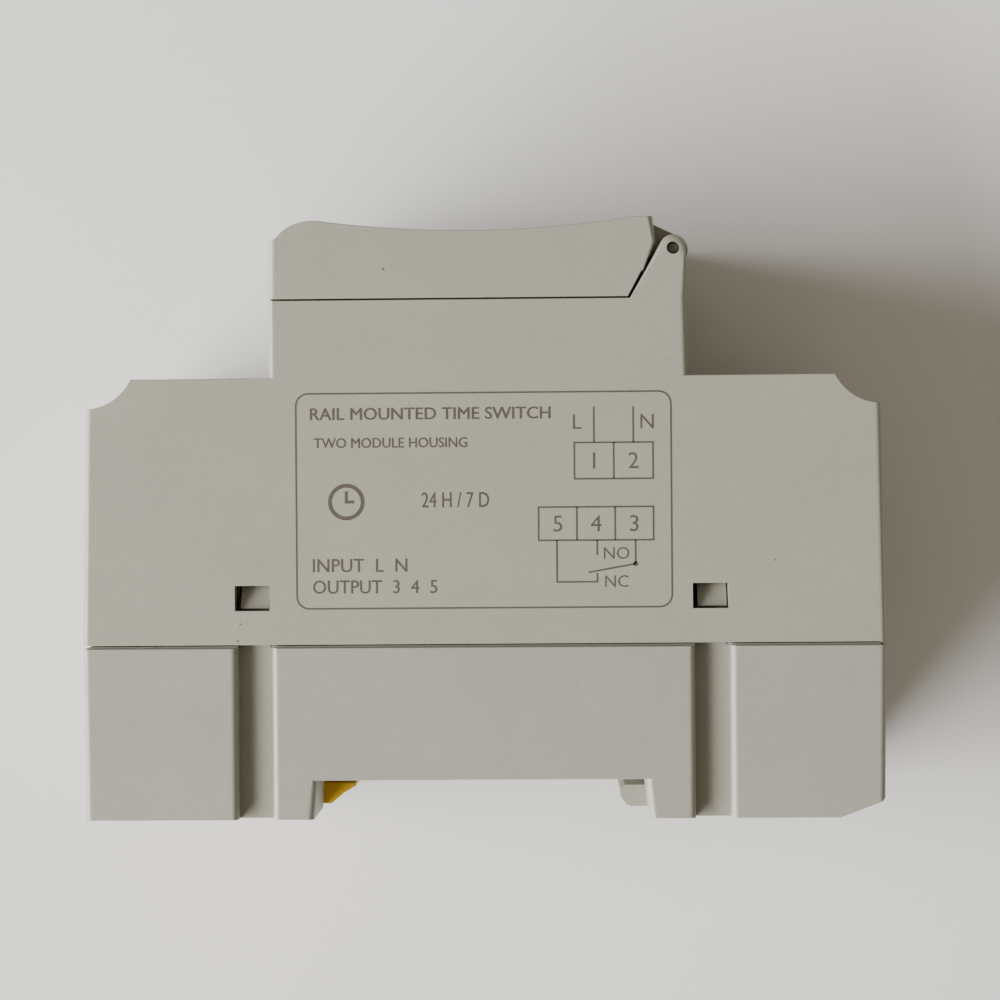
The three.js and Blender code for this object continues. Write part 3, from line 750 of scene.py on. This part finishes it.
def print_supply_boxes(bm):
    """Terminals 1 and 2 with their supply lines."""
    left, low, high = 9.47, 36.3, 40.17
    middle = middle_of((left, BOXES_RIGHT))
    ribbon(bm, box_outline(left, BOXES_RIGHT, low, high), LINE, closed=True)
    ribbon(bm, [(middle, low), (middle, high)], LINE)
    for number, x in (("1", 11.57), ("2", 15.77)):
        ribbon(bm, [(x, high), (x, 44.0)], LINE)
        text_into(bm, number, on_side, x, middle_of((low, high)), 1.7, centred=True)
    text_into(bm, "L", on_side, 9.8, 42.4, 1.55, centred=True)
    text_into(bm, "N", on_side, 17.25, 42.4, 1.55, centred=True)


def print_switched_boxes(bm):
    """Terminals 5, 4 and 3 with the changeover contact."""
    left, low, high = 5.6, 29.75, 33.3
    cell = (BOXES_RIGHT - left) / 3
    ribbon(bm, box_outline(left, BOXES_RIGHT, low, high), LINE, closed=True)
    for i, number in enumerate("543"):
        text_into(bm, number, on_side, left + cell * (i + 0.5), middle_of((low, high)), 1.7, centred=True)
        if i:
            ribbon(bm, [(left + cell * i, low), (left + cell * i, high)], LINE)
    closed_x, open_x, pivot_x = 7.54, 11.84, 15.93
    ribbon(bm, [(closed_x, low), (closed_x, 25.3), (open_x, 25.3), (open_x, 26.25)], LINE)
    ribbon(bm, [(open_x, low), (open_x, 28.15)], LINE)
    ribbon(bm, [(pivot_x, low), (pivot_x, 27.25)], LINE)
    ribbon(bm, [(10.87, 26.3), (pivot_x, 27.2)], LINE)
    fan(bm, circle(pivot_x, 27.2, 0.28, 20))
    text_into(bm, "NO", on_side, 13.9, 28.35, 1.25, centred=True)
    text_into(bm, "NC", on_side, 13.9, 25.35, 1.25, centred=True)


def print_words(bm):
    text_into(bm, "RAIL MOUNTED TIME SWITCH", on_side, -18.8, 43.4, 1.25, 25.7, bold=0.07)
    text_into(bm, "TWO MODULE HOUSING", on_side, -18.4, 40.3, 1.05, 16.4, bold=0.05)
    text_into(bm, "24 H / 7 D", on_side, -6.9, 34.15, 1.6, 7.2, bold=0.04)
    text_into(bm, "INPUT  L  N", on_side, -18.6, 27.2, 1.4, 10.1, bold=0.04)
    text_into(bm, "OUTPUT  3  4  5", on_side, -18.6, 24.9, 1.4, 13.3, bold=0.04)


def print_clock(bm):
    """A plain clock face with two hands."""
    x, level = -14.95, 34.0
    ribbon(bm, circle(x, level, 1.75), 0.42, closed=True)
    ribbon(bm, [(x, level + 1.15), (x, level), (x + 0.85, level)], 0.34)


def build_label():
    bm = bmesh.new()
    ribbon(bm, rounded_box(-20.3, 19.8, 22.6, 45.6, 1.3), LINE, closed=True)
    print_supply_boxes(bm)
    print_switched_boxes(bm)
    print_words(bm)
    print_clock(bm)
    new_piece("side_print", bm, PRINT, "housing", "housing_plastic")


# ---------------------------------------------------------------- front controls

BUTTONS = [name for name in NODES if name.startswith("button_")]
PANEL_TOP = spans("front_panel")[1][1]
LEGENDS = {"button_program": "SET", "button_clock": "TIME", "button_manual": "MAN", "button_clear": "CLR",
           "button_day": "D+", "button_hour": "H+", "button_minute": "M+"}
FLANGE_STEP = 0.9  # how far a button's flange stands out past its cap
FLANGE_THICK = 1.2


def build_buttons():
    """Round caps with a dished top and a thin flange under the panel."""
    for name in BUTTONS:
        along, level, height = spans(name)
        x, z = middle_of(along), middle_of(height)
        flange = half_of(along)
        cap = flange - FLANGE_STEP
        foot, top = level
        lip = foot + FLANGE_THICK
        bm = bmesh.new()
        turned(bm, x, z, [
            (cap - 0.4, foot), (flange - 0.1, foot), (flange, foot + 0.1), (flange, lip - 0.1),
            (flange - 0.1, lip), (cap + 0.1, lip), (cap, lip + 0.15), (cap, top - 0.5),
            (cap - 0.05, top - 0.28), (cap - 0.18, top - 0.1), (cap - 0.4, top), (cap - 0.7, top - 0.05),
            (cap * 0.45, top - 0.16), (cap * 0.15, top - 0.2)])
        made_piece(name + "_cap", bm, BUTTON, name, (name,))


def build_panel_print():
    bm = bmesh.new()
    plane = on_front(PANEL_TOP + INK_LIFT)
    for name, words in LEGENDS.items():
        along, _, height = spans(name)
        text_into(bm, words, plane, middle_of(height), along[0] - 0.6, 1.05, bold=0.04, centred=True)
    along, _, height = spans("status_led")
    text_into(bm, "ON", plane, middle_of(height) + 3.6, middle_of(along), 1.0, bold=0.03, centred=True)
    glass_x, _, glass_z = spans("lcd_glass")
    frame_line = rounded_box(glass_z[0] + 0.3, glass_z[1] - 0.3, glass_x[0] + 0.3, glass_x[1] - 0.3, 0.8)
    ribbon(bm, frame_line, 0.22, closed=True, place=plane)
    new_piece("panel_print", bm, PRINT, "housing", "panel_plastic")


SEGMENTS = {"0": "abcdef", "1": "bc", "2": "abged", "5": "afgcd"}


def segment_outline(kind, width, height, stroke):
    """One bar of a seven-segment digit, pointed at both ends, from the digit's lower left corner."""
    half = height / 2
    ends = {"a": ((0, height), (width, height)), "g": ((0, half), (width, half)), "d": ((0, 0), (width, 0)),
            "f": ((0, half), (0, height)), "b": ((width, half), (width, height)),
            "e": ((0, 0), (0, half)), "c": ((width, 0), (width, half))}
    start, end = (Vector(point) for point in ends[kind])
    way = (end - start).normalized()
    side = Vector((-way.y, way.x)) * stroke / 2
    tip = way * stroke / 2
    start, end = start + way * 0.08, end - way * 0.08
    return [start, start + tip - side, end - tip - side, end, end - tip + side, start + tip + side]


def build_display():
    """Dark segments on the display's glass: a time, the days above it and the mode below it."""
    glass_x, glass_level, glass_z = spans("lcd_glass")
    plane = on_front(glass_level[1] + INK_LIFT)
    middle = middle_of(glass_z)
    bm = bmesh.new()
    width, height, stroke, pitch = 3.0, 5.6, 0.62, 4.5
    colon_gap = 0.6
    low = middle_of(glass_x) - height / 2 - 0.2
    for i, figure in enumerate("1250"):
        left = middle + (i - 2) * pitch + 0.4 + (colon_gap if i >= 2 else 0)
        for kind in SEGMENTS[figure]:
            outline = segment_outline(kind, width, height, stroke)
            bm.faces.new([bm.verts.new(plane(left + p.x, low + p.y)) for p in outline])
    for share in (0.3, 0.7):
        spot = circle(middle + 0.05, low + height * share, 0.36, 16)
        bm.faces.new([bm.verts.new(plane(*p)) for p in spot])
    for i, day in enumerate(("MO", "TU", "WE", "TH", "FR", "SA", "SU")):
        text_into(bm, day, plane, middle + (i - 3) * 3.2, low + height + 1.6, 0.9, centred=True, bold=0.03)
    for i, mode in enumerate(("ON", "AUTO", "OFF")):
        text_into(bm, mode, plane, middle + (i - 1) * 6.5, low - 1.5, 0.9, centred=True, bold=0.03)
    new_piece("display_segments", bm, SEGMENT, "housing", "display_glass")


def build_lamp():
    along, level, height = spans("status_led")
    x, z = middle_of(along), middle_of(height)
    radius = half_of(along)
    foot, top = level
    bm = bmesh.new()
    dome = [(radius * math.cos(a), top - radius + radius * math.sin(a))
            for a in (math.radians(15 * i) for i in range(6))]
    turned(bm, x, z, [(radius - 0.1, foot), (radius, foot + 0.1), *dome, (0.1, top)], 36)
    made_piece("lamp_body", bm, LENS, "status_led", ("status_led",))


# ---------------------------------------------------------------- terminals

THREAD_PITCH = 0.7
THREAD_DEPTH = 0.4
THREAD_RADIUS = 2.0
HEAD_HEIGHT = 2.3
SHOULDER = 47.3  # the level of the faces round the screwdriver tunnels


def threaded_rod(bm, x, z, radius, foot, top, steps=32):
    """A rod along Y with a rolled thread that fades out at its foot."""
    rows_a_turn = 8
    rows = int((top - foot) / THREAD_PITCH * rows_a_turn)
    rings = []
    for row in range(rows + 1):
        level = foot + (top - foot) * row / rows
        lead_in = min(1.0, 0.35 + row / rows_a_turn)
        ring = []
        for step in range(steps):
            turn = step / steps
            phase = (level / THREAD_PITCH + turn) % 1
            crest = min(1.0, 1.5 * (1 - abs(2 * phase - 1)))
            reach = radius - THREAD_DEPTH * (1 - crest * lead_in)
            angle = 2 * math.pi * turn
            ring.append(bm.verts.new(at(x + reach * math.cos(angle), level, z + reach * math.sin(angle))))
        rings.append(ring)
    capped(bm, rings)


def build_terminal_screw(number):
    """A cheese-head screw with a combined slot and cross over a rolled thread."""
    node = f"terminal_screw_{number}"
    along, level, height = spans(node)
    x, z = middle_of(along), middle_of(height)
    radius = half_of(along)
    top = level[1]
    foot = top - HEAD_HEIGHT
    bm = bmesh.new()
    turned(bm, x, z, [
        (radius - 0.3, foot), (radius, foot + 0.3), (radius, top - 0.55), (radius - 0.1, top - 0.3),
        (radius - 0.35, top - 0.08), (radius - 0.7, top), (0.4, top)])
    piece = made_piece(node + "_made", bm, ZINC, node, (node,))
    piece.modifiers.clear()
    slot, cross_arm = (5, 0.5, 1.2), (0.45, 2.1, 1.35)
    for reach_x, reach_z, depth in (slot, cross_arm):
        cutter = bmesh.new()
        cuboid(cutter, (x - reach_x, x + reach_x), (top - depth, top + 1), (z - reach_z, z + reach_z))
        cut_away(piece, cutter)
    bm = bmesh.new()
    bm.from_mesh(piece.data)
    threaded_rod(bm, x, z, THREAD_RADIUS, level[0], foot + 0.2)
    bmesh.ops.recalc_face_normals(bm, faces=bm.faces)
    for face in bm.faces:
        face.smooth = True
    bm.to_mesh(piece.data)
    bm.free()
    weighted_normals(piece)


def build_terminal_numbers():
    """Raised numbers on the shoulders, one above each screw's tunnel."""
    bm = bmesh.new()
    plane = on_front(SHOULDER - 0.02)
    for number in range(1, 6):
        along, _, height = spans(f"terminal_screw_{number}")
        x = middle_of(along)
        inward = x - math.copysign(6.0, x)
        text_into(bm, str(number), plane, middle_of(height), inward, 2.6, centred=True)
    raise_faces(bm, Vector((0, 1, 0)), 0.35)
    bmesh.ops.recalc_face_normals(bm, faces=bm.faces)
    new_piece("terminal_numbers", bm, HOUSING, "housing", "housing_plastic")


# ---------------------------------------------------------------- rail clip's spring

def build_spring():
    """A compression spring with closed ends."""
    along, level, height = spans("clip_spring")
    y, z = middle_of(level), middle_of(height)
    wire = 0.21
    reach = half_of(level) - wire
    turns_open, turns_closed = 6.5, 1.0
    left, right = along[0] + wire, along[1] - wire
    closed = 2 * wire * turns_closed * 1.05
    path = []
    total = turns_open + 2 * turns_closed
    steps = int(total * 20)
    for i in range(steps + 1):
        turn = total * i / steps
        if turn < turns_closed:
            x = left + closed * turn / turns_closed
        elif turn > total - turns_closed:
            x = right - closed * (total - turn) / turns_closed
        else:
            x = left + closed + (right - left - 2 * closed) * (turn - turns_closed) / turns_open
        angle = 2 * math.pi * turn
        path.append(at(x, y + reach * math.cos(angle), z + reach * math.sin(angle)))
    bm = bmesh.new()
    tube(bm, path, wire * MM, 12)
    piece = made_piece("wound_spring", bm, SPRING_STEEL, "clip_spring", ("clip_spring",))
    piece.modifiers.clear()
    at(along[0], y, z)
    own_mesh(piece)


# ---------------------------------------------------------------- electronics

def build_power_leads():
    """Leads through the power board, with a cone of solder under each."""
    board = spans("power_board")[1]
    wires, cones = bmesh.new(), bmesh.new()
    places = []
    spreads = {"dropper_capacitor": 10, "fuse_resistor": 3.2, "varistor": 2.6, "smoothing_capacitor": 1.8}
    for node, spread in spreads.items():
        along, level, height = spans(node)
        for side in (-1, 1):
            places.append((middle_of(along), middle_of(height) + side * spread, level[0] + 0.4))
    relay_x, relay_level, _ = spans("relay_base")
    for x in (relay_x[0] + 2, relay_x[1] - 1.2):
        for z in (10, 26):
            places.append((x, z, relay_level[0] + 0.4))
    cone = [(1.0, 0.01), (0.85, 0.1), (0.5, 0.4), (0.34, 0.75)]  # radius and depth under the board
    for x, z, top in places:
        tube(wires, [at(x, board[0] - 1.0, z), at(x, top, z)], 0.3 * MM, 10)
        turned(cones, x, z, [(radius, board[0] - drop) for radius, drop in cone], 20)
    made_piece("power_board_leads", wires, SOLDER, "power_board")
    made_piece("power_board_solder", cones, SOLDER, "power_board")


def build_display_legs():
    """The microcontroller's legs and the crystal's leads under the display board."""
    board = spans("display_board")[1]
    chip_x, _, chip_z = spans("microcontroller")
    legs = bmesh.new()
    count, pitch = 9, 1.0
    for i in range(count):
        offset = (i - (count - 1) / 2) * pitch
        for side, edge in ((-1, chip_z[0]), (1, chip_z[1])):
            z = sorted((edge - side * 0.1, edge + side * 0.9))
            x = middle_of(chip_x) + offset
            cuboid(legs, (x - 0.18, x + 0.18), (board[0] - 0.3, board[0] - 0.02), z)
    crystal_x, crystal_level, (_, end) = spans("quartz_crystal")
    low = middle_of(crystal_level)
    for shift in (-0.4, 0.4):
        x = middle_of(crystal_x) + shift
        path = [at(x, low, end - 0.2), at(x, low, end + 1.4), at(x, board[0], end + 1.6)]
        tube(legs, path, 0.16 * MM, 8)
    made_piece("display_board_legs", legs, SOLDER, "display_board")


def build_chip_parts():
    """Small parts with plated ends under the display board."""
    board = spans("display_board")[1]
    chips, ends = bmesh.new(), bmesh.new()
    for i in range(6):
        x, z = 1.5 + 2.2 * i, 27.0 if i % 2 else 29.2
        cuboid(chips, (x - 0.5, x + 0.5), (board[0] - 0.55, board[0] - 0.02), (z - 0.4, z + 0.4))
        for side in (-1, 1):
            tip = sorted((x + side * 0.45, x + side * 0.8))
            cuboid(ends, tip, (board[0] - 0.58, board[0] - 0.01), (z - 0.42, z + 0.42))
    made_piece("chip_parts", chips, BLACK, "display_board", width=0.05)
    made_piece("chip_ends", ends, SOLDER, "display_board", width=0.05)


def build_can(node, material, band):
    """A can with a crimped top and a rolled groove, band mm above its foot."""
    along, level, height = spans(node)
    x, z = middle_of(along), middle_of(height)
    radius = half_of(along)
    foot, top = level
    groove = foot + band
    bm = bmesh.new()
    turned(bm, x, z, [
        (radius - 0.3, foot), (radius, foot + 0.25), (radius, groove), (radius - 0.25, groove + 0.25),
        (radius, groove + 0.5), (radius, top - 0.5), (radius - 0.12, top - 0.2), (radius - 0.45, top - 0.02),
        (radius - 0.8, top - 0.02), (radius - 0.9, top - 0.15), (0.3, top - 0.15)])
    made_piece(node + "_can", bm, material, node, (node,))


def build_resistor():
    """A fusible resistor's body with thick ends and a waist."""
    along, level, (low, high) = spans("fuse_resistor")
    radius = half_of(along)
    waist = radius - 0.3
    x, y = middle_of(along), middle_of(level)
    end = [(0.5, 0), (waist, 0.1), (radius, 0.6), (radius, 1.6), (waist, 2.1)]
    profile = [(r, low + inset) for r, inset in end] + [(r, high - inset) for r, inset in reversed(end)]
    bm = bmesh.new()
    capped(bm, [[bm.verts.new(at(x + r * c, y + r * s, z)) for c, s in round_steps(32)] for r, z in profile])
    made_piece("resistor_body", bm, FILM, "fuse_resistor", ("fuse_resistor",))


def build_coil():
    """Enamelled wire wound in layers: its outside shows every turn as a small ridge."""
    along, level, height = spans("relay_coil")
    outer = half_of(level)
    inner = 3.3
    y, z = middle_of(level), middle_of(height)
    valley = outer - 0.12
    turns_shown = 38
    profile = [(inner, along[0])]
    step = (along[1] - along[0]) / turns_shown
    for i in range(turns_shown):
        start = along[0] + i * step
        profile += [(valley, start + 0.02 * step), (outer, start + 0.3 * step), (outer, start + 0.7 * step)]
    profile += [(valley, along[1]), (inner, along[1])]
    bm = bmesh.new()
    rings = [[bm.verts.new(at(x, y + r * c, z + r * s)) for c, s in round_steps(40)] for r, x in profile]
    skin(bm, rings + rings[:1])
    made_piece("coil_winding", bm, ENAMEL, "relay_coil", ("relay_coil",))


# ---------------------------------------------------------------- softened CAD shapes

def numbered(stem, count):
    return [f"{stem}_{i}" for i in range(1, count + 1)]


SMALL_STEEL = [*numbered("board_screw", 4), "relay_core", "relay_yoke", "relay_armature", "quartz_crystal"]
CONTACTS = [*numbered("terminal_bar", 5), "relay_contact_arm", "relay_contact_nc", "relay_contact_no"]


def build_refined():
    """The CAD shapes that need only softened edges: material, width of the rounds in mm, nodes."""
    shapes = [
        (PANEL, 0.18, ["front_panel"]),
        (YELLOW, 0.22, ["rail_clip"]),
        (CLEAR, 0.08, ["lid_window"]),
        (CLEAR, 0.3, ["relay_cover"]),
        (BLACK, 0.12, ["lcd_bezel", "microcontroller", "rectifier", "relay_base", "relay_bobbin"]),
        (RUBBER, 0.12, ["keypad_mat", "lcd_connector"]),
        (GLASS, 0.05, ["lcd_glass"]),
        (GREEN_BOARD, 0.05, ["display_board", "power_board"]),
        (ZINC, 0.2, numbered("terminal_cage", 5)),
        (ZINC, 0.08, SMALL_STEEL),
        (COPPER, 0.08, CONTACTS),
        (BRASS, 0.06, ["board_link"]),
        (DARK_STEEL, 0.12, ["hinge_pin"]),
        (FILM, 0.5, ["dropper_capacitor"]),
        (BLUE_DIP, 0.2, ["varistor"]),
    ]
    for material, width, nodes in shapes:
        for node in nodes:
            refined(node, material, width)


# ---------------------------------------------------------------- stage

def build_stage():
    bm = bmesh.new()
    bmesh.ops.create_grid(bm, x_segments=1, y_segments=1, size=1.5)
    table = in_scene("table", mesh_from("table", bm))
    m = Nodes("table_top")
    tone = m.ramp(m.noise(12, 3), [(0.3, shade(TABLE_WHITE, 0.983)), (0.7, shade(TABLE_WHITE, 1.017))])
    m.link(tone, m.shader.inputs["Base Color"])
    m.set(Roughness=0.6)
    table.data.materials.append(m.material)


LIGHT_DISTANCE = 1.6
DAYLIGHT = (0.975, 0.985, 1.0)


def area_light(name, direction, size, power):
    """A soft rectangle of daylight in a direction from the object, turned to face it."""
    light = bpy.data.lights.new(name, "AREA")
    light.shape = "RECTANGLE"
    light.size, light.size_y = size
    light.energy = power
    light.color = DAYLIGHT
    lamp = in_scene(name, light)
    toward = Vector(direction).normalized()
    lamp.location = toward * LIGHT_DISTANCE
    lamp.rotation_euler = toward.to_track_quat("Z", "Y").to_euler()


def build_lights():
    """A long window on the clip's side, a low one beside it, and a warm room."""
    area_light("window", (-1.0, -0.36, 0.72), (1.7, 0.6), 77)
    area_light("low_window", (-1.0, -0.1, 0.16), (0.7, 0.25), 24)
    world = bpy.data.worlds.new("room")
    bpy.context.scene.world = world
    world.use_nodes = True
    background = world.node_tree.nodes["Background"]
    background.inputs["Color"].default_value = (1.0, 0.9, 0.74, 1)
    background.inputs["Strength"].default_value = 0.33


def build_camera():
    """Above the upper side face, a little to the hinge's side, with a slight roll."""
    view_width = 106.8 * MM
    height = 260 * MM
    aside = 5.8 * MM
    target = at(1.9, 34.1, WIDTH)
    data = bpy.data.cameras.new("camera")
    data.lens = data.sensor_width * height / view_width
    data.clip_start = 0.01
    camera = in_scene("camera", data)
    camera.location = target + Vector((aside, 0, height))
    roll = math.radians(0.43)
    back = (camera.location - target).normalized()
    up = Vector((math.sin(roll), math.cos(roll), 0))
    right = up.cross(back).normalized()
    up = back.cross(right)
    turn = Matrix((right, up, back)).transposed().to_4x4()
    camera.matrix_world = Matrix.Translation(camera.location) @ turn
    bpy.context.scene.camera = camera


build_shells()
build_refined()
build_label()
build_buttons()
build_panel_print()
build_display()
build_lamp()
for terminal in range(1, 6):
    build_terminal_screw(terminal)
build_terminal_numbers()
build_spring()
build_power_leads()
build_display_legs()
build_chip_parts()
build_can("battery", ZINC, 1.2)
build_can("smoothing_capacitor", SLEEVE, 1.0)
build_resistor()
build_coil()
build_stage()
build_lights()
build_camera()
